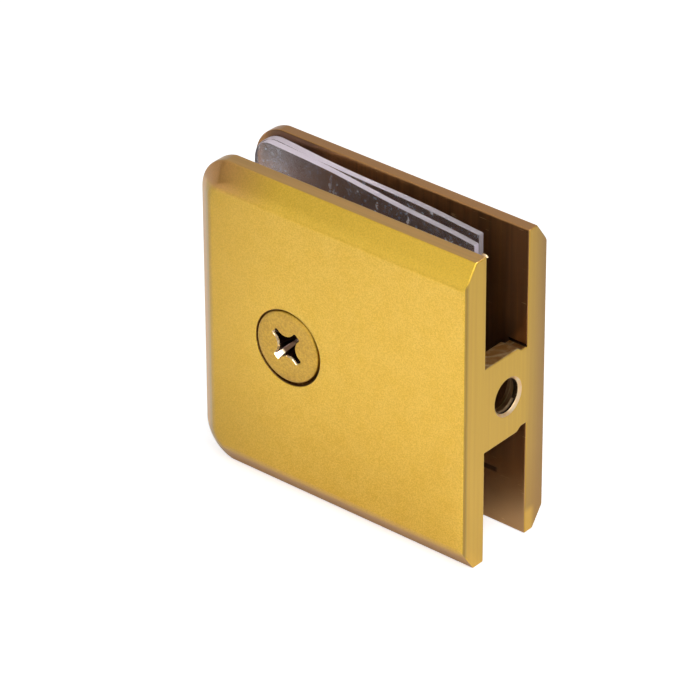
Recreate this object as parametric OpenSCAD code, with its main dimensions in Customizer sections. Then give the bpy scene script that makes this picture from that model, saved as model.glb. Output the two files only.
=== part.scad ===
// Wall-to-glass panel clamp: a one-piece brass body of two bevelled plates and a web,
// a countersunk clamp screw across the channel, and two clear gasket sheets.
//
// Frame: the origin is the centre of the wall screw hole on the wall face.
// +X points out of the wall face, +Y towards the rear plate, +Z up.

/* [Plates] */
// Height of both plates
plate_h = 50.8; // [44:0.1:90]
// Length of both plates, from the wall face to the open end
plate_w = 50.8; // [42:0.1:90]
// Thickness of the front plate, which takes the screw head
front_t = 4.6; // [4.2:0.1:8]
// Thickness of the rear plate, which takes the screw thread
rear_t = 4.2; // [3.9:0.1:8]
// Radius of the two corners at the open end
corner_r = 6; // [4:0.1:10]
// How far the cut of each corner runs out past the top or bottom edge, which leaves a faint angle there
corner_overrun = 0.08; // [0.02:0.01:0.3]
// Width of the bevel round the outer faces, seen square on
bevel_w = 3.2; // [1:0.1:3.9]
// Depth of the bevel, through the plate
bevel_d = 2.3; // [0.5:0.1:3]

/* [Channel and web] */
// Gap between the plates, for the glass and its gaskets
channel_w = 9.5; // [7.5:0.1:16]
// Thickness of the web, from the wall face into the channel
web_t = 3.2; // [2.5:0.1:5]
// Height of the web
web_h = 14; // [11:0.1:24]
// Length of the narrower foot where the web meets the rear plate
foot_w = 2.1; // [1.4:0.1:3]
// Length of the slope down to that foot
foot_slope = 0.9; // [0.3:0.1:1.2]
// Step from the top of the web down to the top of its foot
foot_step = 0.6; // [0.2:0.1:1.5]

/* [Wall screw hole] */
// Radius of the wall screw hole
wall_hole_r = 2.7; // [2:0.05:3]
// Length of the straight part of the hole
wall_hole_land = 1.2; // [0.8:0.1:1.6]
// Radius of the hole's countersink where it opens into the channel
wall_sink_r = 3.9; // [3.6:0.05:4.2]
// Chamfer round the hole's mouth on the wall face
wall_hole_chamfer = 0.42; // [0.1:0.02:0.5]
// How far the hole lies behind the middle of the channel
wall_hole_shift = 0.5; // [0:0.1:0.8]

/* [Clamp screw] */
// Distance from the open end to the screw's axis
screw_inset = 18; // [13:0.1:24]
// Radius of the screw over its thread
screw_r = 3; // [2.4:0.05:3.6]
// Radius of the screw's head
head_r = 5.85; // [4.8:0.05:6.6]
// Height of the straight rim of the head
head_rim = 0.7; // [0.3:0.05:1]
// How far the head sits below the front face
head_drop = 0.05; // [0:0.01:0.3]
// Radial gap between the head's rim and its seat
head_gap = 0.2; // [0.1:0.05:0.5]
// Length of thread engaged in the rear plate
thread_grip = 3; // [2:0.1:3.2]
// Distance between the tips of opposite wings of the cross recess
recess_span = 6.3; // [4:0.1:7]
// Width of each wing
recess_wing = 1.1; // [0.6:0.05:1.6]
// Distance from the recess's centre to its waist between two wings
recess_waist = 1.6; // [1.2:0.05:2.2]
// Depth of the recess
recess_depth = 3.2; // [1.5:0.1:3.6]
// Turn of the recess about the screw's axis
recess_turn = 49; // [0:1:90]

/* [Gaskets] */
// Thickness of each gasket sheet
gasket_t = 1.1; // [0.8:0.05:1.4]
// Distance from the top of the plates down to the top of the sheets
gasket_top_gap = 0.8; // [0.5:0.1:3]
// Distance from the bottom of the plates up to the bottom of the sheets
gasket_bottom_gap = 9; // [0.5:0.1:12]
// Length of the channel that the rear sheet leaves free at the wall end
gasket_wall_gap = 5.6; // [4.8:0.1:8]
// Radius of the sheets' two corners at the open end
gasket_corner_r = 4.5; // [2:0.1:6]
// How much larger the radius of the sheets' hole is than the screw's
gasket_hole_slack = 1.7; // [1.5:0.05:2.4]
// Distance from the open end to the rear sheet
rear_gasket_inset = 1; // [0.5:0.1:1.4]
// Distance from the open end to the front sheet
front_gasket_inset = 2.5; // [1.6:0.1:2.9]
// How far the rear sheet's wall end stands off the rear plate
rear_gasket_off = 3; // [1:0.1:3.6]
// How far the front sheet's wall end stands off the rear plate
front_gasket_off = 5.9; // [5.4:0.1:6]

/* [Hidden] */
$fn = 96;

// radial running clearance of the thread in the tapped hole
thread_clearance = 0.05;
// radial clearance of the shank in the front plate
shank_clearance = 0.3;
// clearance left between the head's cone and its seat
seat_clearance = 0.1;
// metal left behind the blind tapped hole
blind_skin = 0.8;
// clearance between a gasket and the plate or sheet that it rests on
rest_clearance = 0.15;
// clearance between the screw and the gaskets that hang on it
hang_clearance = 0.4;
// chamfer on the tip of the screw
tip_chamfer = 0.5;
// how far the recess's flutes cut into the sides of its wings
flute_bite = 0.05;
// overshoot of a cut past the face that it opens through
over = 1;

// faces along Y
front_inner_y = -channel_w / 2 - wall_hole_shift;
rear_inner_y = channel_w / 2 - wall_hole_shift;
front_outer_y = front_inner_y - front_t;
rear_outer_y = rear_inner_y + rear_t;

// the screw's axis
screw_x = screw_inset - plate_w;

// head and seat, as depths below the front face; both cones are at 45 degrees
sink_r = head_r + head_gap;
head_cone_from = head_drop + head_rim;
sink_cone_from = head_cone_from - (head_gap - seat_clearance);
shank_hole_r = screw_r + shank_clearance;
screw_end = front_t + channel_w + thread_grip;

// both gaskets are the same sheet, moved apart by this much along the channel
gasket_w = plate_w - gasket_wall_gap - rear_gasket_inset;
gasket_shift = front_gasket_inset - rear_gasket_inset;
gasket_top = plate_h / 2 - gasket_top_gap;
gasket_bottom = gasket_bottom_gap - plate_h / 2;
// the sheet's hole, placed so that its upper edge hangs on the screw in both gaskets
gasket_hole_r = screw_r + gasket_hole_slack;
gasket_hole_x = screw_inset - rear_gasket_inset - gasket_shift / 2;
gasket_hole_z = -sqrt(pow(gasket_hole_slack - hang_clearance, 2) - pow(gasket_shift / 2, 2));
// lean of each sheet; the front one starts clear of the rear one
rear_gasket_lean = asin((rear_gasket_off - rest_clearance) / gasket_w);
gasket_pitch = rest_clearance + (gasket_t + gasket_shift * sin(rear_gasket_lean)) / cos(rear_gasket_lean);
front_gasket_lean = asin((front_gasket_off - rest_clearance - gasket_pitch) / gasket_w);

// What is cut away outside one rounded corner, at the open end of the plate's top edge.
module corner_cut(t) {
    center_z = plate_h / 2 + corner_overrun - corner_r;
    difference() {
        translate([-plate_w - over, center_z, -over])
            cube([corner_r + over, corner_r + over, t + 2 * over]);
        translate([corner_r - plate_w, center_z, 0]) {
            cylinder(h = bevel_d, r1 = corner_r - bevel_w, r2 = corner_r);
            translate([0, 0, bevel_d])
                cylinder(h = t + 2 * over, r = corner_r);
        }
    }
}

// A plate lying on its outer face, with the bevel round its top, bottom and open end.
module plate(t) {
    half_h = plate_h / 2;
    difference() {
        intersection() {
            rotate([0, -90, 0])
                linear_extrude(plate_w)
                    polygon([
                        [0, bevel_w - half_h], [0, half_h - bevel_w], [bevel_d, half_h],
                        [t, half_h], [t, -half_h], [bevel_d, -half_h]
                    ]);
            rotate([90, 0, 0])
                linear_extrude(plate_h, center = true)
                    polygon([[bevel_w - plate_w, 0], [0, 0], [0, t], [-plate_w, t], [-plate_w, bevel_d]]);
        }
        corner_cut(t);
        mirror([0, 1, 0])
            corner_cut(t);
    }
}

// Web between the plates at the wall end, sloping to a narrower foot at the rear plate.
module web() {
    half_h = web_h / 2;
    foot_h = half_h - foot_step;
    foot_y = rear_inner_y - foot_w;
    rotate([0, -90, 0])
        linear_extrude(web_t)
            polygon([
                [half_h, front_inner_y], [half_h, foot_y], [foot_h, foot_y + foot_slope], [foot_h, rear_inner_y],
                [-foot_h, rear_inner_y], [-foot_h, foot_y + foot_slope], [-half_h, foot_y], [-half_h, front_inner_y]
            ]);
}

// Wall screw hole: a chamfered mouth, a straight land, then a countersink into the channel.
module wall_hole() {
    rotate([0, -90, 0]) {
        translate([0, 0, -over])
            cylinder(h = web_t + over, r = wall_hole_r);
        cylinder(
            h = wall_hole_chamfer,
            r1 = wall_hole_r + wall_hole_chamfer,
            r2 = wall_hole_r
        );
        translate([0, 0, wall_hole_land])
            cylinder(h = web_t - wall_hole_land, r1 = wall_hole_r, r2 = wall_sink_r);
    }
}

// Seat of the screw in both plates, along +Z from the front face.
module screw_seat() {
    translate([0, 0, -over])
        cylinder(h = sink_cone_from + over, r = sink_r);
    translate([0, 0, sink_cone_from])
        cylinder(h = sink_r - shank_hole_r, r1 = sink_r, r2 = shank_hole_r);
    cylinder(h = front_t + channel_w / 2, r = shank_hole_r);
    cylinder(
        h = front_t + channel_w + rear_t - blind_skin,
        r = screw_r + thread_clearance
    );
}

// Places what is drawn along +Z on the screw's axis, from the front face inwards.
module on_screw_axis() {
    translate([screw_x, front_outer_y, 0])
        rotate([-90, 0, 0])
            children();
}

module body() {
    color("goldenrod")
        difference() {
            union() {
                translate([0, front_outer_y, 0])
                    rotate([-90, 0, 0])
                        plate(front_t);
                translate([0, rear_outer_y, 0])
                    rotate([90, 0, 0])
                        plate(rear_t);
                web();
            }
            on_screw_axis()
                screw_seat();
            wall_hole();
        }
}

// Cross recess: four straight wings on a core with four round flutes, drawn in to a cone as it deepens.
module cross_recess() {
    tip_r = recess_span / 2;
    // each flute comes within recess_waist of the centre and just cuts the sides of two wings
    flute_at = (recess_waist - recess_wing / 2 + flute_bite) / (1 - sqrt(0.5));
    flute_r = flute_at - recess_waist;
    core_w = flute_at * sqrt(2);
    intersection() {
        linear_extrude(recess_depth) {
            square([recess_span, recess_wing], center = true);
            square([recess_wing, recess_span], center = true);
            difference() {
                square(core_w, center = true);
                for (quarter = [0 : 3])
                    rotate(45 + 90 * quarter)
                        translate([flute_at, 0])
                            circle(flute_r);
            }
        }
        cylinder(h = recess_depth, r1 = tip_r, r2 = recess_wing * 0.8);
    }
}

module clamp_screw() {
    color("darkgoldenrod")
        on_screw_axis()
            difference() {
                union() {
                    translate([0, 0, head_drop])
                        cylinder(h = head_rim, r = head_r);
                    translate([0, 0, head_cone_from])
                        cylinder(h = head_r - screw_r, r1 = head_r, r2 = screw_r);
                    translate([0, 0, head_cone_from])
                        cylinder(h = screw_end - tip_chamfer - head_cone_from, r = screw_r);
                    translate([0, 0, screw_end - tip_chamfer])
                        cylinder(h = tip_chamfer, r1 = screw_r, r2 = screw_r - tip_chamfer);
                }
                translate([0, 0, head_drop])
                    rotate(recess_turn)
                        cross_recess();
            }
}

// A gasket sheet with its open end at X = 0, its rear face at Y = 0 and its thickness towards -Y.
module gasket_sheet() {
    rotate([90, 0, 0])
        linear_extrude(gasket_t)
            difference() {
                union() {
                    translate([gasket_corner_r, gasket_bottom])
                        square([gasket_w - gasket_corner_r, gasket_top - gasket_bottom]);
                    translate([0, gasket_bottom + gasket_corner_r])
                        square([gasket_w, gasket_top - gasket_bottom - 2 * gasket_corner_r]);
                    for (corner_z = [gasket_top - gasket_corner_r, gasket_bottom + gasket_corner_r])
                        translate([gasket_corner_r, corner_z])
                            circle(gasket_corner_r);
                }
                translate([gasket_hole_x, gasket_hole_z])
                    circle(gasket_hole_r);
            }
}

module gasket_front() {
    color("lavender", 0.5)
        translate([front_gasket_inset - plate_w, rear_inner_y - rest_clearance - gasket_pitch, 0])
            rotate([0, 0, -front_gasket_lean])
                gasket_sheet();
}

module gasket_rear() {
    color("lavender", 0.5)
        translate([rear_gasket_inset - plate_w, rear_inner_y - rest_clearance, 0])
            rotate([0, 0, -rear_gasket_lean])
                gasket_sheet();
}

body();
clamp_screw();
gasket_front();
gasket_rear();
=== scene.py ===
import bpy
import bmesh
import math
import numpy as np
from mathutils import Matrix, Vector


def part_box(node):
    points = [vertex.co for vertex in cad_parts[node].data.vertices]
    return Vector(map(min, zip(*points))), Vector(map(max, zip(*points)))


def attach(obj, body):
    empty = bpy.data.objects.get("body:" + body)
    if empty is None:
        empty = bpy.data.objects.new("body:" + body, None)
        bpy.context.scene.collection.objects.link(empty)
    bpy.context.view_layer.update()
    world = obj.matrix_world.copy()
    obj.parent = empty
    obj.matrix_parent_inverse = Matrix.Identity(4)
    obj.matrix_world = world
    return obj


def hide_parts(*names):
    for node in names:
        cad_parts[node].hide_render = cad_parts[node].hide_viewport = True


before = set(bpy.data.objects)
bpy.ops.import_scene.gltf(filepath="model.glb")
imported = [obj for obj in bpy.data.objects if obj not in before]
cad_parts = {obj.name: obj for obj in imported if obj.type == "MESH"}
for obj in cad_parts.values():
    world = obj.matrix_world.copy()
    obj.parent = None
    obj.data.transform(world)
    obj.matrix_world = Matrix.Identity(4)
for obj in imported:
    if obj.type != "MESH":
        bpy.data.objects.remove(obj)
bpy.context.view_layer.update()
print("frame loaded")

mm = 0.001  # sizes below are in millimetres and scaled once, where they reach a mesh or a node


def boxOf(node):
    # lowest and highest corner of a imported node, in millimetres
    return [np.array(corner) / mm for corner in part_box(node)]


bodyLow, bodyHigh = boxOf("body")
screwLow, screwHigh = boxOf("clamp_screw")
openX = bodyLow[0]  # open end of the channel; the wall face is at X = 0
frontY = bodyLow[1]  # outer face of the front plate
rearY = bodyHigh[1]  # outer face of the rear plate
lowZ = bodyLow[2]
topZ = bodyHigh[2]
screwX = (screwLow[0] + screwHigh[0]) / 2
frontInnerY = frontY + 4.6  # the plates are 4.6 mm and 4.2 mm thick
rearInnerY = rearY - 4.2


def linear(code):
    # sRGB hex to linear: the standard two-part curve, channel by channel
    srgb = np.array([int(code[i:i + 2], 16) for i in (1, 3, 5)]) / 255.0
    out = np.where(srgb <= 0.04045, srgb / 12.92, ((srgb + 0.055) / 1.055) ** 2.4)
    return (float(out[0]), float(out[1]), float(out[2]), 1.0)


def addNode(tree, kind, settings=None, inputs=None, links=None):
    # one node with its settings, its constant inputs and its incoming links
    node = tree.nodes.new(kind)
    for name, value in (settings or {}).items():
        setattr(node, name, value)
    for name, value in (inputs or {}).items():
        node.inputs[name].default_value = value
    for name, source in (links or {}).items():
        tree.links.new(source, node.inputs[name])
    return node


def newMaterial(name):
    material = bpy.data.materials.new(name)
    material.use_nodes = True
    material.node_tree.nodes.clear()
    return material, material.node_tree


def gridFaces(rows, columns, closeRows=False):
    # quads between neighbouring rows of a grid whose columns run round, and whose rows may too
    i, j = np.meshgrid(np.arange(rows if closeRows else rows - 1), np.arange(columns), indexing="ij")
    nextRow = (i + 1) % rows
    nextColumn = (j + 1) % columns
    corners = [i * columns + j, nextRow * columns + j,
               nextRow * columns + nextColumn, i * columns + nextColumn]
    return np.stack(corners, axis=-1).reshape(-1, 4)


def makePiece(name, mesh, materials, body, sharpAngle):
    for material in materials:
        mesh.materials.append(material)
    mesh.polygons.foreach_set("use_smooth", np.ones(len(mesh.polygons), dtype=bool))
    if sharpAngle:
        mesh.set_sharp_from_angle(angle=math.radians(sharpAngle))
    piece = bpy.data.objects.new(name, mesh)
    bpy.context.scene.collection.objects.link(piece)
    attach(piece, body)
    return piece


def turnOutwards(mesh):
    work = bmesh.new()
    work.from_mesh(mesh)
    bmesh.ops.recalc_face_normals(work, faces=work.faces)
    work.to_mesh(mesh)
    work.free()


shot = {
    "azimuth": 40.07,  # degrees
    "elevation": 31.33,
    "roll": -0.25,
    "target": (-31.125, 2.15, -5.275),  # mm
    "distance": 710.2,  # mm
    "lens": 249.6,
}


def makeCamera():
    az = math.radians(shot["azimuth"])
    el = math.radians(shot["elevation"])
    roll = math.radians(shot["roll"])
    back = Vector((math.sin(az) * math.cos(el), -math.cos(az) * math.cos(el), math.sin(el)))
    right = Vector((math.cos(az), math.sin(az), 0.0))
    up = back.cross(right)
    rolledRight = right * math.cos(roll) + up * math.sin(roll)
    rolledUp = up * math.cos(roll) - right * math.sin(roll)
    data = bpy.data.cameras.new("camera")
    data.lens = shot["lens"]
    data.sensor_width = 36.0
    data.clip_start = 0.01
    data.clip_end = 20.0
    camera = bpy.data.objects.new("camera", data)
    bpy.context.scene.collection.objects.link(camera)
    place = (Vector(shot["target"]) + back * shot["distance"]) * mm
    facing = Matrix((rolledRight, rolledUp, back)).transposed().to_4x4()
    camera.matrix_world = Matrix.Translation(place) @ facing
    bpy.context.scene.camera = camera


makeCamera()
print("camera placed")


def blendTones(tree, coords, colour, tones):
    # Local shades of a finish. A tone comes in where all its limits are passed, and a limit is an axis,
    # where the tone begins and where it is full, in millimetres.
    if not tones:
        return colour
    axes = addNode(tree, "ShaderNodeSeparateXYZ", links={0: coords})
    for tone, limits in tones:
        share = None
        for axis, begin, end in limits:
            passed = addNode(tree, "ShaderNodeMapRange", {"interpolation_type": "SMOOTHSTEP"},
                             {"From Min": begin * mm, "From Max": end * mm}, {"Value": axes.outputs[axis]})
            if share:
                passed = addNode(tree, "ShaderNodeMath", {"operation": "MULTIPLY"},
                                 links={0: share, 1: passed.outputs[0]})
            share = passed.outputs[0]
        colour = addNode(tree, "ShaderNodeMix", {"data_type": "RGBA"}, {7: linear(tone)},
                         {0: share, 6: colour}).outputs[2]
    return colour


# thin clear lacquer over the outside and the channel's walls
lacquer = {"Coat Weight": 1.0, "Coat Roughness": 0.3, "Coat IOR": 1.5}


def blastedGold(name, low, high, roughness, gritSize=0.22, bump=0.3, tones=()):
    # Brass, glass-bead blasted and gold-lacquered: an even satin sheen with a fine sandy sparkle.
    # The plated steel screw head is blasted in the same way.
    material, tree = newMaterial(name)
    coords = addNode(tree, "ShaderNodeTexCoord").outputs["Object"]
    # bead dimples are about 0.1 mm across, drawn at gritSize so that they show
    grit = addNode(tree, "ShaderNodeTexNoise", None,
                   {"Scale": 1 / (gritSize * mm), "Detail": 2.0, "Roughness": 0.5}, {"Vector": coords})
    # the lacquer's thickness drifts over about 3 mm
    cloud = addNode(tree, "ShaderNodeTexNoise", None, {"Scale": 1 / (3.333 * mm), "Detail": 2.0},
                    {"Vector": coords})
    both = addNode(tree, "ShaderNodeMath", {"operation": "MULTIPLY_ADD"}, {1: 0.35},
                   {0: cloud.outputs["Fac"], 2: grit.outputs["Fac"]})
    spread = addNode(tree, "ShaderNodeMapRange", None, {"From Min": 0.5, "From Max": 0.85},
                     {"Value": both.outputs[0]})
    tint = addNode(tree, "ShaderNodeMix", {"data_type": "RGBA"}, {6: linear(low), 7: linear(high)},
                   {0: spread.outputs[0]})
    # every dimple has its darker side, on the local tones too
    shade = addNode(tree, "ShaderNodeMapRange", None,
                    {"From Min": 0.35, "From Max": 0.65, "To Min": 0.94, "To Max": 1.06},
                    {"Value": grit.outputs["Fac"]})
    toned = blendTones(tree, coords, tint.outputs[2], tones)
    colour = addNode(tree, "ShaderNodeMix", {"data_type": "RGBA", "blend_type": "MULTIPLY"}, {0: 1.0},
                     {6: toned, 7: shade.outputs[0]})
    dimples = addNode(tree, "ShaderNodeBump", None, {"Strength": bump, "Distance": 0.02 * mm},
                      {"Height": grit.outputs["Fac"]})
    shader = addNode(tree, "ShaderNodeBsdfPrincipled", None,
                     {"Metallic": 1.0, "Roughness": roughness, **lacquer},
                     {"Base Color": colour.outputs[2], "Normal": dimples.outputs["Normal"],
                      "Coat Normal": dimples.outputs["Normal"]})
    addNode(tree, "ShaderNodeOutputMaterial", links={"Surface": shader.outputs[0]})
    return material


def brushedGold(name, low, high, roughness, lineWidth, stretch, tones=(), scratch=None):
    # Brass, belt-ground along its length and lacquered: fine straight lines; its tones mostly paint light
    # and shade.
    # A side-milled wall has the cutter's straight lines in the same way. stretch scales the pattern along
    # each axis, so the lines run along the axis with the small number. Real ones are about 0.05 mm apart,
    # drawn at lineWidth so that they show.
    material, tree = newMaterial(name)
    coords = addNode(tree, "ShaderNodeTexCoord").outputs["Object"]
    turned = addNode(tree, "ShaderNodeMapping", inputs={"Scale": stretch}, links={"Vector": coords})
    lines = addNode(tree, "ShaderNodeTexNoise", None,
                    {"Scale": 1 / (lineWidth * mm), "Detail": 3.0, "Roughness": 0.6},
                    {"Vector": turned.outputs["Vector"]})
    spread = addNode(tree, "ShaderNodeMapRange", None, {"From Min": 0.3, "From Max": 0.7},
                     {"Value": lines.outputs["Fac"]})
    tint = addNode(tree, "ShaderNodeMix", {"data_type": "RGBA"}, {6: linear(low), 7: linear(high)},
                   {0: spread.outputs[0]})
    colour = blendTones(tree, coords, tint.outputs[2], tones)
    if scratch:
        # short bright nicks along X, about 0.15 mm wide: the peaks of a noise of 0.333 mm
        nicked = addNode(tree, "ShaderNodeMapping", None,
                         {"Scale": (0.12, 0.1, 1.0), "Rotation": (0, 0.15, 0)}, {"Vector": coords})
        nicks = addNode(tree, "ShaderNodeTexNoise", None, {"Scale": 3 / mm, "Detail": 1.0},
                        {"Vector": nicked.outputs["Vector"]})
        seen = addNode(tree, "ShaderNodeMapRange", None,
                       {"From Min": 0.745, "From Max": 0.78, "To Max": 0.8}, {"Value": nicks.outputs["Fac"]})
        colour = addNode(tree, "ShaderNodeMix", {"data_type": "RGBA"}, {7: linear(scratch)},
                         {0: seen.outputs[0], 6: colour}).outputs[2]
    grooves = addNode(tree, "ShaderNodeBump", None, {"Strength": 0.3, "Distance": 0.02 * mm},
                      {"Height": lines.outputs["Fac"]})
    shader = addNode(tree, "ShaderNodeBsdfPrincipled", None,
                     {"Metallic": 1.0, "Roughness": roughness, **lacquer},
                     {"Base Color": colour, "Normal": grooves.outputs["Normal"]})
    addNode(tree, "ShaderNodeOutputMaterial", links={"Surface": shader.outputs[0]})
    return material


def milledBrass(name, low, high, roughness, pitch, centre, tones=()):
    # Brass, end-milled and left as cut: brown, with a few bright arcs where the cutter dug in.
    material, tree = newMaterial(name)
    coords = addNode(tree, "ShaderNodeTexCoord").outputs["Object"]
    turned = addNode(tree, "ShaderNodeMapping", None, {"Location": [-v * mm for v in centre]},
                     {"Vector": coords})
    # a wave node's rings are pi / 10 apart at scale 1
    arcs = addNode(tree, "ShaderNodeTexWave", {"wave_type": "RINGS", "rings_direction": "Z"},
                   {"Scale": math.pi / (10 * pitch * mm), "Distortion": 3.0, "Detail": 2.0,
                    "Detail Scale": 1.0},
                   {"Vector": turned.outputs["Vector"]})
    line = addNode(tree, "ShaderNodeMapRange", None, {"From Min": 0.9, "From Max": 1.0},
                   {"Value": arcs.outputs["Fac"]})
    # cutting oil leaves stains about 1.4 mm across
    stain = addNode(tree, "ShaderNodeTexNoise", None,
                    {"Scale": 1 / (1.429 * mm), "Detail": 4.0, "Roughness": 0.6}, {"Vector": coords})
    both = addNode(tree, "ShaderNodeMath", {"operation": "MULTIPLY_ADD"}, {1: 0.3},
                   {0: line.outputs[0], 2: stain.outputs["Fac"]})
    spread = addNode(tree, "ShaderNodeMapRange", None, {"From Min": 0.4, "From Max": 0.85},
                     {"Value": both.outputs[0]})
    tint = addNode(tree, "ShaderNodeMix", {"data_type": "RGBA"}, {6: linear(low), 7: linear(high)},
                   {0: spread.outputs[0]})
    colour = blendTones(tree, coords, tint.outputs[2], tones)
    ridges = addNode(tree, "ShaderNodeBump", None, {"Strength": 0.3, "Distance": 0.02 * mm},
                     {"Height": both.outputs[0]})
    shader = addNode(tree, "ShaderNodeBsdfPrincipled", None, {"Metallic": 1.0, "Roughness": roughness},
                     {"Base Color": colour, "Normal": ridges.outputs["Normal"]})
    addNode(tree, "ShaderNodeOutputMaterial", links={"Surface": shader.outputs[0]})
    return material


def turnedMetal(name, low, high, roughness, markSize=1.111, tones=()):
    # Bare metal straight off the drill, the press or the roller: bright where it faces a light, near black
    # elsewhere. markSize is the size in mm of the patches that the tool left.
    material, tree = newMaterial(name)
    coords = addNode(tree, "ShaderNodeTexCoord").outputs["Object"]
    marks = addNode(tree, "ShaderNodeTexNoise", None, {"Scale": 1 / (markSize * mm), "Detail": 3.0},
                    {"Vector": coords})
    spread = addNode(tree, "ShaderNodeMapRange", None, {"From Min": 0.35, "From Max": 0.65},
                     {"Value": marks.outputs["Fac"]})
    tint = addNode(tree, "ShaderNodeMix", {"data_type": "RGBA"}, {6: linear(low), 7: linear(high)},
                   {0: spread.outputs[0]})
    colour = blendTones(tree, coords, tint.outputs[2], tones)
    shader = addNode(tree, "ShaderNodeBsdfPrincipled", None, {"Metallic": 1.0, "Roughness": roughness},
                     {"Base Color": colour})
    addNode(tree, "ShaderNodeOutputMaterial", links={"Surface": shader.outputs[0]})
    return material


def clearSheet(name, tint, transmission, roughness, smearSize, scuffing, tones=()):
    # Clear soft PVC sheet cut from roll: see-through faces with a little haze, milky where a knife cut it.
    # smearSize is in mm; scuffing is how much of the clearness a scuff takes away.
    material, tree = newMaterial(name)
    coords = addNode(tree, "ShaderNodeTexCoord").outputs["Object"]
    # finger marks and dust break up the gloss
    smears = addNode(tree, "ShaderNodeTexNoise", None,
                     {"Scale": 1 / (smearSize * mm), "Detail": 4.0, "Distortion": 0.6}, {"Vector": coords})
    dull = addNode(tree, "ShaderNodeMapRange", None,
                   {"From Min": 0.4, "From Max": 0.7, "To Min": roughness, "To Max": roughness + 0.18},
                   {"Value": smears.outputs["Fac"]})
    # scuffs are the peaks of a noise of 0.77 mm
    scuffs = addNode(tree, "ShaderNodeTexNoise", None, {"Scale": 1.3 / mm, "Detail": 2.0, "Distortion": 0.3},
                     {"Vector": coords})
    milky = addNode(tree, "ShaderNodeMapRange", None,
                    {"From Min": 0.63, "From Max": 0.7, "To Min": transmission,
                     "To Max": transmission - scuffing},
                    {"Value": scuffs.outputs["Fac"]})
    shader = addNode(tree, "ShaderNodeBsdfPrincipled", None, {"IOR": 1.5, "Base Color": linear(tint)},
                     {"Roughness": dull.outputs[0], "Transmission Weight": milky.outputs[0]})
    if tones:
        plain = addNode(tree, "ShaderNodeRGB")
        plain.outputs[0].default_value = linear(tint)
        toned = blendTones(tree, coords, plain.outputs[0], tones)
        tree.links.new(toned, shader.inputs["Base Color"])
    addNode(tree, "ShaderNodeOutputMaterial", links={"Surface": shader.outputs[0]})
    return material


bodySpec = {
    "softEdge": 1.6,  # mm, easing where the bevels meet the outer faces
    "openEdge": 0.6,  # mm, the same at the open end
    "openFade": (5.0, 10.0),  # mm from the open end, between which the one turns into the other
    "crispEdge": 0.22,  # mm, easing of the other outside edges
    "mouthEdge": 0.22,  # mm, easing of the channel's mouth
    "sinkEdge": 0.22,  # mm, easing round the screw's countersink
    "holeEdge": 0.05,  # mm, easing round the wall hole
    "easeAngle": 20.0,  # degrees, edges sharper than this are eased
    "facet": 0.6,  # mm, the edges of round cuts are shorter than this
    "holeReach": 7.0,  # mm, how far from its axis a hole's edges can lie
    "innerBand": 1.5,  # mm, outside edges lie further than this from the inner faces
    "segments": 6,
    "webThickness": 3.2,  # mm
    "burrAt": (-0.62, frontInnerY + 0.32, topZ - 0.2),  # mm, the middle of the burr
    "burrSize": (0.6, 0.26, 0.16),  # mm, half lengths
    "burrTilt": 12.0,  # degrees
}


def insetFlats(work):
    # a frame of narrow faces inside each wide flat one keeps the easing clear of the cuts that join its
    # holes; each flat has its axis, its level and the frame's breadth in mm
    flats = [(1, frontY, 1.8), (1, rearY, 1.8), (1, frontInnerY, 0.3), (1, rearInnerY, 0.3), (0, 0.0, 0.3),
             (0, -bodySpec["webThickness"], 0.3)]
    for axis, level, breadth in flats:
        chosen = [face for face in work.faces if abs(face.normal[axis]) > 0.999
                  and all(abs(v.co[axis] / mm - level) < 0.01 for v in face.verts)]
        bmesh.ops.inset_region(work, faces=chosen, thickness=breadth * mm, use_boundary=True,
                               use_even_offset=True)
    bmesh.ops.remove_doubles(work, verts=work.verts, dist=0.05 * mm)  # corners that an inset folded over


def easeWidth(edge):
    # how wide an edge is eased, in mm, from where it lies and the faces that meet there
    spec = bodySpec
    normals = [face.normal for face in edge.link_faces]
    middle = (edge.verts[0].co + edge.verts[1].co) / (2 * mm)
    outside = middle.y < frontInnerY - spec["innerBand"] or middle.y > rearInnerY + spec["innerBand"]
    bevelled = any(0.3 < abs(n.y) < 0.95 for n in normals)
    faced = any(abs(n.y) > 0.99 for n in normals)
    atWeb = middle.x > -spec["webThickness"] - 0.8
    atHole = abs(middle.z) < spec["holeReach"] and (atWeb or abs(middle.x - screwX) < spec["holeReach"])
    if atHole and edge.calc_length() < spec["facet"] * mm:
        return spec["sinkEdge"] if middle.y < frontY + 0.1 else spec["holeEdge"]
    if outside and bevelled and faced:
        fromOpen = middle.x - openX
        return np.interp(fromOpen, spec["openFade"], [spec["openEdge"], spec["softEdge"]])
    if frontInnerY - 0.1 < middle.y < rearInnerY + 0.1:
        return spec["mouthEdge"]
    return spec["crispEdge"]


def addBurr(work):
    # a curl of burr left on the front plate's inner top edge at the wall end: a thin tilted ellipsoid
    shape = Matrix.Translation([v * mm for v in bodySpec["burrAt"]])
    shape = shape @ Matrix.Rotation(math.radians(bodySpec["burrTilt"]), 4, "Y")
    shape = shape @ Matrix.Diagonal([v * mm for v in bodySpec["burrSize"]] + [1.0])
    bmesh.ops.create_icosphere(work, subdivisions=3, radius=1.0, matrix=shape)


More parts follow.
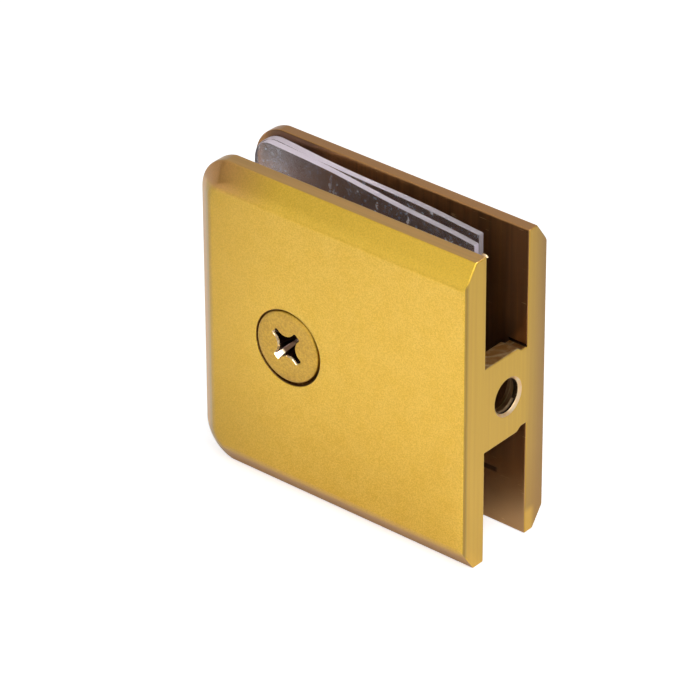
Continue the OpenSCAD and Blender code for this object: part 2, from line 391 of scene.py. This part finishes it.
def makeBodyFinishes():
    # most of these tones are painted light and shade, each marked below; the others only make a patch darker
    # or brighter
    faceTones = [
        # painted shade: the face darker towards the open end, where it mirrors a darker floor
        ("#D2A626", [("X", openX + 20, openX - 8), ("Z", topZ - 3.2, topZ - 4.4)]),  # towards the open end
        # painted light: the top bevel brighter, fading in from the open end
        ("#FFD036", [("X", openX - 100, openX + 140), ("Z", topZ - 4.4, topZ - 3.2)]),  # top bevel
        # painted shade: the bottom bevel darker, as where it mirrors the floor in the clamp's contact shadow
        ("#D29A2A", [("Z", lowZ + 3.4, lowZ + 2.2)]),  # bottom bevel
        # painted reflection: the open end's bevel paler, as where it mirrors white at a grazing angle
        ("#FFCE8C", [("X", openX + 2.6, openX + 1.2)]),  # open end's bevel
        # painted shade: the top bevel's open end browner, as where it mirrors the dark flag
        ("#D49A50", [("X", openX + 17, openX + 3), ("Z", topZ - 4.4, topZ - 3.2)]),  # top bevel's open end
    ]
    wallTones = [
        ("#B48E32", [("Y", frontY + 1.0, frontY)]),  # painted shade: a dark line along the wall end's front edge
        ("#B48648", [("Y", rearInnerY - 1.5, rearY + 1.5)]),  # painted shade: the wall end darker over the rear plate's end
        ("#B78225", [("Z", 4, -44), ("Y", rearInnerY - 0.4, rearInnerY + 0.2)]),  # duller further down
        # the foot is brighter again
        ("#F4C23C", [("Z", -20.8, -22.2), ("Y", rearInnerY - 0.4, rearInnerY + 0.2), ("Y", 6.8, 5.4)]),
    ]
    channelTones = [
        ("#5E3E22", [("X", -9, -1), ("Z", 11, 4), ("Z", -1, 1)]),  # painted shade on the rear wall by the web, where the web's corner is in shadow
        ("#D0A064", [("Z", -7, -20)]),  # painted light: brighter low in the channel, where light from the floor gets in
        ("#6A4A26", [("X", -4.9, -5.6), ("Z", -16.0, -16.3), ("Z", -17.1, -16.8)]),  # painted shadow of the sheets' lower corner on the rear wall
        # darker under the top edge, near the open end
        ("#70481E", [("X", openX + 16, openX + 10), ("X", openX + 1, openX + 4), ("Z", 18, 23)]),
    ]
    webFoot = [("#2A1C10", [("Y", rearInnerY - 0.35, rearInnerY - 0.15)])]  # painted shade in the corner where the web meets the rear plate
    darkEnd = [("#241A12", [("X", -1.1, -0.6)])]  # the painted lit strip goes dark short of the mouth
    alongX, alongZ = (0.02, 1.0, 1.0), (1.0, 1.0, 0.015)
    return {
        "face": blastedGold("blasted_lacquered_brass_face", "#E7B823", "#F0C544", 0.4, tones=faceTones),
        "edge": brushedGold("sawn_lacquered_brass_edge", "#D2A04C", "#E0AC56", 0.42, 0.5, alongX,
                            [("#CC9048", [("Y", 0, rearInnerY)])]),
        "wallEnd": brushedGold("ground_lacquered_brass_end", "#ECBA34", "#F4C63E", 0.4, 0.6, alongZ,
                               wallTones),
        "channel": brushedGold("milled_brass_channel", "#9A6832", "#BC8444", 0.38, 1.2, (1.0, 1.0, 0.02),
                               channelTones, scratch="#F4CC8C"),
        "web": milledBrass("milled_brass_web", "#CC9E58", "#F4DCA8", 0.4, 2.3, (-8.0, 3.0, 0.0), webFoot),
        "chamfer": turnedMetal("countersunk_bright_brass", "#FFD49C", "#FFE6BE", 0.35),
        # the bore is painted dark as shade, with a strip of it painted bright as lit
        "bore": turnedMetal("drilled_brass_bore_painted_shade", "#4A3826", "#66503A", 0.45, 0.4),
        "litBoreStrip": turnedMetal("painted_lit_brass_bore_strip", "#C8A880", "#E0C4A0", 0.6, 0.4, darkEnd),
        # painted shade: the countersink under the head is darker than the bare chamfer
        "seat": turnedMetal("countersunk_brass_seat_painted_shade", "#7E5E38", "#A88450", 0.42, 0.4),
    }


def finishOfFaces(mesh, names):
    # Which finish each face has, from where its middle lies and which way it faces: the first place that
    # fits counts. The limits, in mm, run just outside each feature.
    normal = np.zeros(len(mesh.polygons) * 3)
    centre = np.zeros(len(mesh.polygons) * 3)
    mesh.polygons.foreach_get("normal", normal)
    mesh.polygons.foreach_get("center", centre)
    nx, ny = normal.reshape(-1, 3).T[:2]
    cx, cy, cz = centre.reshape(-1, 3).T / mm
    fromBurr = (centre.reshape(-1, 3) / mm - bodySpec["burrAt"]) / bodySpec["burrSize"]
    inChannel = (cy > frontInnerY - 0.2) & (cy < rearInnerY + 0.2)
    inBore = (np.hypot(cy, cz) < 3) & (cx < -0.05) & (cx > -3.1) & (np.abs(nx) < 0.5)
    places = [
        (np.linalg.norm(fromBurr, axis=1) < 1.3, "chamfer"),  # the burr is as bright
        ((nx > 0.95) & (cx > -0.1), "wallEnd"),
        ((cx > -0.42) & (cx < -0.05) & (nx > 0.5) & (nx < 0.9) & (np.abs(cz) < 4), "chamfer"),
        (inBore & (cz < -1.6) & (cy > -0.8), "litBoreStrip"),  # painted light: a lit strip low on the rear side
        # the rest of the bore: painted shade
        (inBore, "bore"),
        # painted shade under the screw head
        ((np.hypot(cx - screwX, cz) < 6.2) & (np.abs(ny) < 0.9), "seat"),
        (inChannel & (cx > -3.3) & (np.abs(cz) < 7.5), "web"),
        (inChannel, "channel"),
        (np.abs(ny) < 0.2, "edge"),
    ]
    return np.select([where for where, name in places], [names.index(name) for where, name in places], 0)


def makeBody():
    # The CAD body, merged, with its edges eased: each edge's width follows from the faces that meet there.
    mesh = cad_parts["body"].data.copy()
    mesh.name = "clamp_body"
    mesh.materials.clear()
    work = bmesh.new()
    work.from_mesh(mesh)
    bmesh.ops.remove_doubles(work, verts=work.verts, dist=0.002 * mm)
    bmesh.ops.dissolve_limit(work, angle_limit=math.radians(0.5), verts=work.verts, edges=work.edges)
    insetFlats(work)
    weights = work.edges.layers.float.new("bevel_weight_edge")
    for edge in work.edges:
        if len(edge.link_faces) == 2 and edge.calc_face_angle(0) >= math.radians(bodySpec["easeAngle"]):
            edge[weights] = easeWidth(edge) / bodySpec["softEdge"]
    addBurr(work)
    work.to_mesh(mesh)
    work.free()
    finishes = makeBodyFinishes()
    finish = finishOfFaces(mesh, list(finishes))
    mesh.polygons.foreach_set("material_index", finish.astype(np.int32))
    piece = makePiece("clamp_body", mesh, finishes.values(), "clamp", None)
    ease = piece.modifiers.new("eased_edges", "BEVEL")
    ease.limit_method = "WEIGHT"
    ease.width = bodySpec["softEdge"] * mm
    ease.segments = bodySpec["segments"]
    flat = piece.modifiers.new("flat_faces", "WEIGHTED_NORMAL")
    flat.keep_sharp = True
    flat.weight = 100
    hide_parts("body")


screwSpec = {
    "headOff": (-0.12, 0.1),  # mm along X and Z, how far the head sits off the middle of its countersink
    "recessOff": (-0.15, 0.02),  # mm, how far off the head's middle the cross was punched
    "rim": 0.7,  # mm, straight height of the head's rim
    "rimEase": 0.3,  # mm
    "rimIn": 0.1,  # mm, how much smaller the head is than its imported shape, for the dark ring round it
    "shank": 3.0,  # mm, radius over the thread
    "pitch": 1.0,  # mm
    "threadDepth": 0.55,  # mm
    "threadFlats": (0.1, 0.85),  # shares of the triangle wave where the root ends and the crest begins
    "ringsPerMm": 14,
    "tipChamfer": 0.5,  # mm
    "recessSpan": 5.9,  # mm, from tip to tip of the cross at the face
    "recessWing": 0.95,  # mm, width of a wing at the face
    "recessWaist": 1.5,  # mm, from the axis to a flute at the face
    "recessTaper": 0.3,  # how much of its width a wing loses on the way down
    "recessFloor": (0.8, 0.7),  # mm, half span and waist at the bottom
    "recessDepth": 3.1,  # mm
    "recessTurn": 49.0,  # degrees
    "wingEase": (0.08, 0.06),  # mm, how the corners at a wing's tip are cut
    "lipWidth": 0.17,  # mm, crushed edge of the cross
    "lipDepth": 0.34,  # mm
}


def crossOutline(shrink):
    # One cross-shaped loop for each value of shrink, 0 at the face and 1 at the bottom. A quarter is a round
    # flute from the diagonal to the wing's side, the straight side, and the wing's flat end; it is mirrored
    # and turned.
    spec = screwSpec
    shrink = np.asarray(shrink)[:, None]
    floorTip, floorWaist = spec["recessFloor"]
    easeAlong, easeAcross = spec["wingEase"]
    wing = spec["recessWing"] / 2 * (1 - spec["recessTaper"] * shrink)
    tip = spec["recessSpan"] / 2 * (1 - shrink) + floorTip * shrink
    waist = spec["recessWaist"] * (1 - shrink) + floorWaist * shrink
    # the radius at which a flute is tangent to the sides of both its wings
    flute = (waist - math.sqrt(2) * wing) / (math.sqrt(2) - 1)
    mid = (waist + flute) / math.sqrt(2)
    # where the tip has drawn in past the flute, the side starts at the tip
    reach = np.maximum(tip, mid + 0.02)
    arc = np.linspace(1.25 * np.pi, 1.5 * np.pi, 9)[None, :]
    along = np.linspace(0, 1, 8)[None, 1:]
    across = np.linspace(1, 0, 5)[None, :]
    side = mid + (reach - easeAlong - mid) * along
    u = np.concatenate([mid + flute * np.cos(arc), side, reach + 0 * across], axis=1)
    v = np.concatenate([mid + flute * np.sin(arc), wing + 0 * along, (wing - easeAcross) * across], axis=1)
    u = np.minimum(u, tip)
    full = np.concatenate([u - 1j * v, (u + 1j * v)[:, ::-1][:, 1:-1]], axis=1)
    turns = [full * np.exp(1j * np.radians(90 * k + spec["recessTurn"])) for k in range(4)]
    return np.concatenate(turns, axis=1)


def makeScrew():
    # One closed skin of rings round the axis: up the recess from its bottom, across the head, round the rim
    # and down the cone, then the thread, whose radius is root + depth * a flattened triangle wave of
    # (distance / pitch - angle / turn), and the chamfered tip.
    spec = screwSpec
    length = screwHigh[1] - screwLow[1]
    headR = (screwHigh[0] - screwLow[0]) / 2 - spec["rimIn"]
    shank = spec["shank"]
    depth = np.linspace(1, 0, 16)
    recess = crossOutline(depth)
    recessAt = spec["lipDepth"] + (spec["recessDepth"] - spec["lipDepth"]) * depth[:, None] + 0 * recess.real
    edge = crossOutline([0.0])
    way = np.roll(edge, -1, axis=1) - np.roll(edge, 1, axis=1)
    lip = edge - 1j * way / np.abs(way) * spec["lipWidth"]
    angle = np.angle(edge[0])[None, :]
    circle = np.exp(1j * angle)
    punched = complex(*spec["recessOff"])
    # the rim: a quarter round, straight down, then the 45 degree cone to the shank
    ease = spec["rimEase"]
    quarter = np.linspace(0, np.pi / 2, 6)
    coneEnd = spec["rim"] + headR - shank + 0.1
    rimR = np.concatenate([headR - ease + ease * np.sin(quarter), [headR, shank - 0.1]])
    rimAt = np.concatenate([ease - ease * np.cos(quarter), [spec["rim"], coneEnd]])
    flat = lip + punched + (circle * (headR - ease) - lip - punched) * np.linspace(0, 1, 5)[:, None]
    rim = rimR[1:, None] * circle
    threadAt = np.linspace(coneEnd + 0.05, length, int((length - coneEnd) * spec["ringsPerMm"]))[:, None]
    wave = np.abs(((threadAt / spec["pitch"] - angle / (2 * np.pi)) % 1.0) * 2 - 1)
    rootEnd, crestStart = spec["threadFlats"]
    wave = np.clip((wave - rootEnd) / (crestStart - rootEnd), 0, 1)
    fade = np.clip((threadAt - coneEnd) / 0.8, 0, 1)  # the thread runs out under the head
    crest = shank - 0.02 - np.clip(threadAt - (length - spec["tipChamfer"]), 0, None)
    threadR = np.minimum(shank - 0.1 - spec["threadDepth"] * fade * (1 - wave) + 0.08 * fade, crest)
    thread = threadR * circle
    ring = np.concatenate([recess + punched, flat, rim, thread])
    at = np.concatenate([recessAt, 0 * flat.real, rimAt[1:, None] + 0 * rim.real, threadAt + 0 * threadR])
    offX, offZ = spec["headOff"]
    follow = 1 - np.clip((at - coneEnd + 0.6) / 0.6, 0, 1)  # the head's shift dies out on the shank
    x = screwX + ring.real + offX * follow
    z = ring.imag + offZ * follow
    points = np.stack([x, screwLow[1] + at, z], axis=-1) * mm
    count, columns = ring.shape
    bottom = points[0].mean(axis=0) + np.array([0, 0.25 * mm, 0])  # the recess ends in a low point
    tip = points[-1].mean(axis=0)
    flatPoints = np.concatenate([points.reshape(-1, 3), [bottom, tip]])
    faces = gridFaces(count, columns)
    j = np.arange(columns)
    nextJ = (j + 1) % columns
    lastRing = (count - 1) * columns
    first = np.stack([nextJ, j, np.full(columns, count * columns)], axis=-1)
    last = np.stack([lastRing + j, lastRing + nextJ, np.full(columns, count * columns + 1)], axis=-1)
    mesh = bpy.data.meshes.new("clamp_screw_threaded")
    mesh.from_pydata(flatPoints.tolist(), [], faces.tolist() + first.tolist() + last.tolist())
    turnOutwards(mesh)
    # finish by ring: recess, lip, head, thread
    row = np.concatenate([faces[:, 0] // columns, np.zeros(columns, int), np.full(columns, count)])
    inRecess = row < len(recess) - 1
    onLip = row == len(recess) - 1
    onThread = row >= len(recess) + len(flat) + len(rim) - 1
    # painted highlight: the floor of the wing that faces the key light gets the bright finish
    corner = flatPoints[np.concatenate([faces[:, 0], first[:, 0], last[:, 0]])] / mm
    turn = math.radians(spec["recessTurn"] + 180)
    alongWing = (corner[:, 0] - screwX) * math.cos(turn) + corner[:, 2] * math.sin(turn)
    acrossWing = (corner[:, 0] - screwX) * math.sin(turn) - corner[:, 2] * math.cos(turn)
    litWingFloor = inRecess & (alongWing > 0.9) & (np.abs(acrossWing - 0.1) < 0.5)
    finish = np.select([litWingFloor | onLip, inRecess, onThread], [3, 1, 2], 0)
    mesh.polygons.foreach_set("material_index", finish.astype(np.int32))
    # painted shade, deeper down the recess
    recessShadeTone = [("#34261C", [("Y", frontY + 0.8, frontY + 1.4)])]
    # painted light and shade: the recess is near black as shade and one wing's floor bright as lit; the
    # crushed lip shares the bright finish
    materials = [
        blastedGold("satin_plated_steel_head", "#C49612", "#D2A62A", 0.38, 0.3, 0.15),
        turnedMetal("punched_plated_steel_recess_painted_shade", "#4A3A38", "#6A5850", 0.22),
        turnedMetal("rolled_plated_steel_thread", "#B98F4A", "#CDA45C", 0.35),
        turnedMetal("crushed_lip_and_painted_lit_recess", "#E0CCA8", "#F0E0C0", 0.16, tones=recessShadeTone),
    ]
    piece = makePiece("clamp_screw_threaded", mesh, materials, "screw", 28)
    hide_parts("clamp_screw")


makeBody()
print("body made")
makeScrew()
print("screw made")

sheetSpec = {
    "thickness": 1.0,  # mm
    "topGap": 0.25,  # mm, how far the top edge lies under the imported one
    "knifeCorner": 0.2,  # mm, radius at the wall end
    "hole": (16.25, -1.06, 4.7),  # mm: X from the sheet's open end, Z, radius
    "edgeEase": 0.05,  # mm
    "swellFrom": 18.0,  # mm from the open end, where the sheet starts to swell towards it
    "swellOver": 8.0,  # mm
    "along": 42,  # points along each side
    "across": 30,  # points from the hole to the outline
}
# curve: where the sheet's rear face lies, as distances in mm from the open end and from the front face
# swell: how much thicker it is at the open end; reach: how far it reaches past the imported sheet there
rearSheet = {
    "curve": [(0.9, 14.0), (5.9, 14.0), (9, 13.75), (13.2, 13.15), (17.2, 12.85), (24.7, 12.65),
              (28.6, 12.42), (32.5, 12.1), (36.4, 11.78), (40.2, 11.6), (45.2, 10.94)],
    "swell": 0.15,
    "reach": 0.0,
    "corner": 4.5,
}
frontSheet = {
    "curve": [(2.4, 12.8), (4.9, 12.78), (8, 12.56), (11.3, 12.2), (16.8, 11.75), (20.5, 11.3),
              (26.7, 10.5), (30.9, 9.9), (34.9, 9.45), (38.7, 9.2), (42.6, 8.8), (46.7, 8.15)],
    "swell": 0.18,
    "reach": 0.35,
    "corner": 3.2,
}


def makeSheet(name, node, sheet, materials):
    # A closed ring grid: u runs round the hole and the outline; v runs out along the front face, over the
    # cut edge, back along the rear face and over the hole's edge. The depth is a smooth curve of the
    # distance from the open end.
    spec = sheetSpec
    low, high = boxOf(node)
    left, right = low[0] - openX - sheet["reach"], high[0] - openX
    bottom, top = low[2], high[2] - spec["topGap"]
    corner, small = sheet["corner"], spec["knifeCorner"]
    places = [(right - small, top - small, small), (left + corner, top - corner, corner),
              (left + corner, bottom + corner, corner), (right - small, bottom + small, small)]
    arcs = []
    for k, (x, z, radius) in enumerate(places):
        turn = np.linspace(0, np.pi / 2, 13) + k * np.pi / 2
        arcs.append(np.stack([x + radius * np.cos(turn), z + radius * np.sin(turn)], axis=-1))
    parts = []
    for arc, following in zip(arcs, arcs[1:] + arcs[:1]):
        parts.append(arc)
        parts.append(arc[-1] + (following[0] - arc[-1]) * np.linspace(0, 1, spec["along"])[1:-1, None])
    outline = np.concatenate(parts)
    holeX, holeZ, holeR = spec["hole"]
    middle = np.array([left + sheet["reach"] + holeX, holeZ])
    away = outline - middle
    rim = middle + holeR * away / np.linalg.norm(away, axis=1)[:, None]
    ease = spec["edgeEase"]
    inset = ease / 20  # easing as a share of the sheet's breadth, which is about 20 mm
    steps = np.linspace(0, 1, spec["across"]) * (1 - 2 * inset) + inset
    out = np.concatenate([steps, [1.0, 1.0], steps[::-1], [0.0, 0.0]])
    nearEdge = 1 - 2 * ease / spec["thickness"]
    side = np.concatenate([np.full(len(steps), -1.0), [-nearEdge, nearEdge], np.full(len(steps), 1.0),
                           [nearEdge, -nearEdge]])
    flat = rim[:, None, :] + (outline - rim)[:, None, :] * out[None, :, None]
    x, z = flat[..., 0], flat[..., 1]
    knots = np.array(sheet["curve"])
    depth = np.polyval(np.polyfit(knots[:, 0], knots[:, 1], 5), np.clip(x, knots[0, 0], knots[-1, 0]))
    swollen = np.clip((spec["swellFrom"] - x) / spec["swellOver"], 0, 1)
    thickness = spec["thickness"] + sheet["swell"] * swollen
    y = depth + (side[None, :] - 1) * thickness / 2
    points = np.stack([openX + x, frontY + y, z], axis=-1) * mm
    rows, columns = x.shape
    faces = gridFaces(rows, columns, closeRows=True)
    mesh = bpy.data.meshes.new(name)
    mesh.from_pydata(points.reshape(-1, 3).tolist(), [], faces.tolist())
    turnOutwards(mesh)
    # the cut edges lie just past each run of steps
    column = faces[:, 0] % columns
    across = spec["across"]
    cut = ((column >= across - 1) & (column <= across + 1)) | (column >= 2 * across + 1)
    mesh.polygons.foreach_set("material_index", cut.astype(np.int32))
    piece = makePiece(name, mesh, materials, "clamp", 25)
    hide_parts(node)


# the cut edge greys towards the wall end, and the end itself is paler
edgeTones = [("#9A9296", [("X", openX + 8, -8)]), ("#D6CADC", [("X", -4.6, -4.1)])]
sheetMaterials = [
    clearSheet("clear_soft_pvc_face", "#F3F0F4", 0.96, 0.05, 3.846, 0.6),
    clearSheet("knife_cut_pvc_edge", "#DDD0DA", 0.2, 0.4, 1.111, 0.0, edgeTones),
]
makeSheet("gasket_rear_sheet", "gasket_rear", rearSheet, sheetMaterials)
makeSheet("gasket_front_sheet", "gasket_front", frontSheet, sheetMaterials)
print("gaskets made")

studio = {
    "floorHalf": 3.0,  # metres
    "floorSeen": 0.62,  # glow of the floor to the camera and through the clear sheets
    "floorFar": 0.2,  # extra glow of the far floor in reflections, where the white sweep curves up
    "floorAway": (0.1, 0.35),  # metres from the middle, between which that glow comes in
    "skyFront": 0.92,  # world light straight from the front
    "skyBack": 0.407,  # world light from the sides and from behind
    "flag": {"size": 0.06, "place": (-0.148, -0.095, 0.075), "aim": (-0.048, -0.008, 0.024)},
    # name, power in watts, size, place and aim in metres, spread in degrees; the spot lights a patch of the
    # floor that the front plate mirrors
    "lamps": [
        ("key_softbox", 0.24, 0.12, (0.13, -0.13, 0.215), (-0.025, 0.0, 0.0), 180),
        ("side_softbox", 0.05, 0.2, (0.1, -0.02, 0.3), (-0.03, -0.07, -0.025), 60),
        ("floor_spot", 0.031, 0.05, (0.1, 0.1, 0.33), (-0.043, -0.075, -0.025), 15.5),
    ],
}


def makeCard(name, half, height, material):
    # a flat square about its own origin, which isn't part of the object
    mesh = bpy.data.meshes.new(name)
    mesh.from_pydata([(x * half, y * half, height) for x, y in [(-1, -1), (1, -1), (1, 1), (-1, 1)]], [],
                     [(0, 1, 2, 3)])
    mesh.materials.append(material)
    card = bpy.data.objects.new(name, mesh)
    bpy.context.scene.collection.objects.link(card)
    return card


def makeFloor():
    # Matt white paper: no gloss, so that only the clamp's soft shadow shows on it. It glows a little where
    # the camera or the clear sheets see it, and further off in reflections.
    material, tree = newMaterial("pale_studio_floor")
    rays = addNode(tree, "ShaderNodeLightPath")
    seen = addNode(tree, "ShaderNodeMath", {"operation": "MAXIMUM"},
                   links={0: rays.outputs["Is Camera Ray"], 1: rays.outputs["Is Transmission Ray"]})
    seenLevel = addNode(tree, "ShaderNodeMath", {"operation": "MULTIPLY"}, {1: studio["floorSeen"]},
                        {0: seen.outputs[0]})
    coords = addNode(tree, "ShaderNodeTexCoord").outputs["Object"]
    away = addNode(tree, "ShaderNodeVectorMath", {"operation": "LENGTH"}, links={0: coords})
    near, far = studio["floorAway"]
    sweep = addNode(tree, "ShaderNodeMapRange", {"interpolation_type": "SMOOTHSTEP"},
                    {"From Min": near, "From Max": far, "To Min": 0.0, "To Max": studio["floorFar"]},
                    {"Value": away.outputs["Value"]})
    level = addNode(tree, "ShaderNodeMath", {"operation": "MULTIPLY_ADD"},
                    links={0: rays.outputs["Is Glossy Ray"], 1: sweep.outputs[0], 2: seenLevel.outputs[0]})
    glow = addNode(tree, "ShaderNodeEmission", None, {"Color": (1, 1, 1, 1)}, {"Strength": level.outputs[0]})
    matte = addNode(tree, "ShaderNodeBsdfDiffuse", inputs={"Color": (0.8, 0.8, 0.8, 1)})
    both = addNode(tree, "ShaderNodeAddShader", links={0: matte.outputs[0], 1: glow.outputs[0]})
    addNode(tree, "ShaderNodeOutputMaterial", links={"Surface": both.outputs[0]})
    makeCard("floor", studio["floorHalf"], (lowZ - 0.02) * mm, material)


def makeWorld():
    # pale sky all round, brighter in front; the camera itself sees plain white
    world = bpy.data.worlds.new("studio")
    bpy.context.scene.world = world
    world.use_nodes = True
    tree = world.node_tree
    tree.nodes.clear()
    rays = addNode(tree, "ShaderNodeLightPath")
    direction = addNode(tree, "ShaderNodeTexCoord").outputs["Generated"]
    axes = addNode(tree, "ShaderNodeSeparateXYZ", links={0: direction})
    level = addNode(tree, "ShaderNodeMapRange", None,
                    {"From Min": -1.0, "From Max": 0.0, "To Min": studio["skyFront"],
                     "To Max": studio["skyBack"]},
                    {"Value": axes.outputs["Y"]})
    dim = addNode(tree, "ShaderNodeBackground", None, {"Color": (1, 1, 1, 1)},
                  {"Strength": level.outputs[0]})
    white = addNode(tree, "ShaderNodeBackground", inputs={"Color": (1, 1, 1, 1), "Strength": 1.0})
    both = addNode(tree, "ShaderNodeMixShader",
                   links={0: rays.outputs["Is Camera Ray"], 1: dim.outputs[0], 2: white.outputs[0]})
    addNode(tree, "ShaderNodeOutputWorld", links={"Surface": both.outputs[0]})


def makeFlag():
    # A black velvet card left of the camera's view: it gives back almost no light, so it shades the left
    # end of the upper bevel.
    spec = studio["flag"]
    material, tree = newMaterial("black_velvet_card")
    matte = addNode(tree, "ShaderNodeBsdfDiffuse", inputs={"Color": (0.02, 0.02, 0.02, 1)})
    addNode(tree, "ShaderNodeOutputMaterial", links={"Surface": matte.outputs[0]})
    flag = makeCard("black_flag", spec["size"] / 2, 0.0, material)
    flag.location = spec["place"]
    flag.rotation_euler = (Vector(spec["aim"]) - Vector(spec["place"])).to_track_quat("Z", "Y").to_euler()


def makeLamps():
    for name, power, size, place, aim, spread in studio["lamps"]:
        lamp = bpy.data.lights.new(name, "AREA")
        lamp.energy = power
        lamp.shape = "SQUARE"
        lamp.size = size
        lamp.spread = math.radians(spread)
        holder = bpy.data.objects.new(name, lamp)
        bpy.context.scene.collection.objects.link(holder)
        holder.location = place
        holder.rotation_euler = (Vector(aim) - Vector(place)).to_track_quat("-Z", "Y").to_euler()


makeFloor()
makeWorld()
makeFlag()
makeLamps()
bpy.context.scene.view_settings.view_transform = "Standard"
print("stage and lights set")

bpy.context.view_layer.update()
